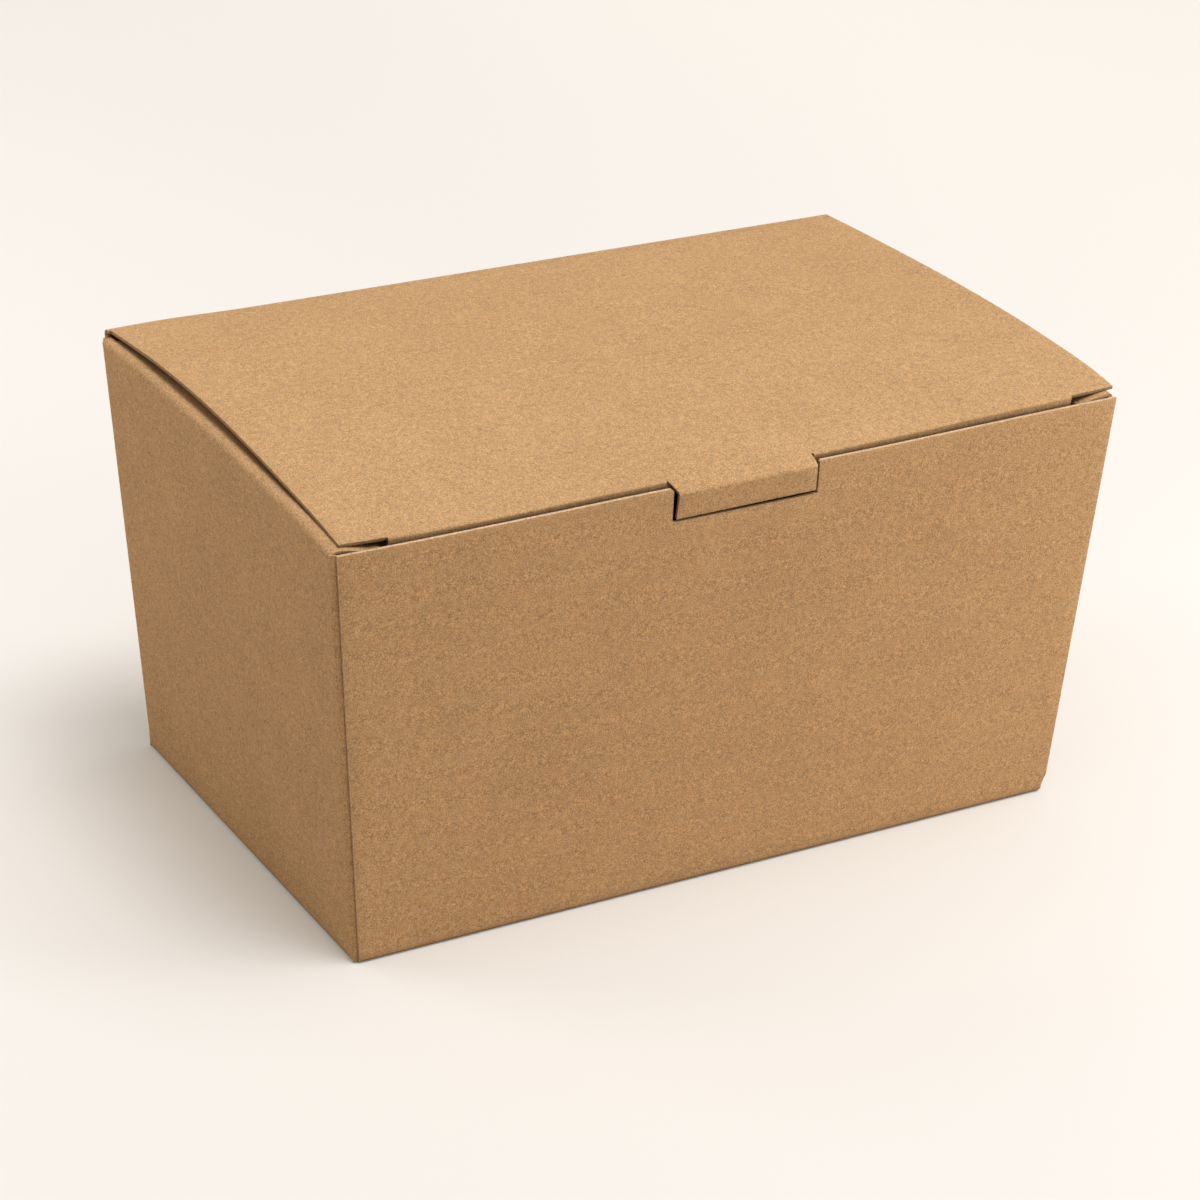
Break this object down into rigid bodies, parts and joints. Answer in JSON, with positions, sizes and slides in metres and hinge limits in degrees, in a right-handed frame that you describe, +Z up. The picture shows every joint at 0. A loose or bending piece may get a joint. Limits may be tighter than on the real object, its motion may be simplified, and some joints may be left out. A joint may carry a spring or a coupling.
{
  "type": "closed cardboard box",
  "caption": "Folding carton of kraft board for take-away food, shut by a hinged lid whose tuck flap and tab hook into a notch at the front.",
  "frame": {"origin": "middle of the base's underside", "axes": "+Z up through the lid, -Y towards the front wall with the notch, X along the width"},
  "size_m": [0.2006, 0.126, 0.1113],
  "materials": {
    "kraft_board": "matt natural kraft"
  },
  "bodies": {
    "carton": {"carton": "kraft_board"},
    "lid": {"lid": "kraft_board"}
  },
  "joints": [
    {"name": "lid_hinge", "type": "hinge", "parent": "carton", "child": "lid", "pos_m": [0, 0.0623, 0.1076], "axis": [-1, 0, 0], "range_deg": [0, 180]}
  ]
}
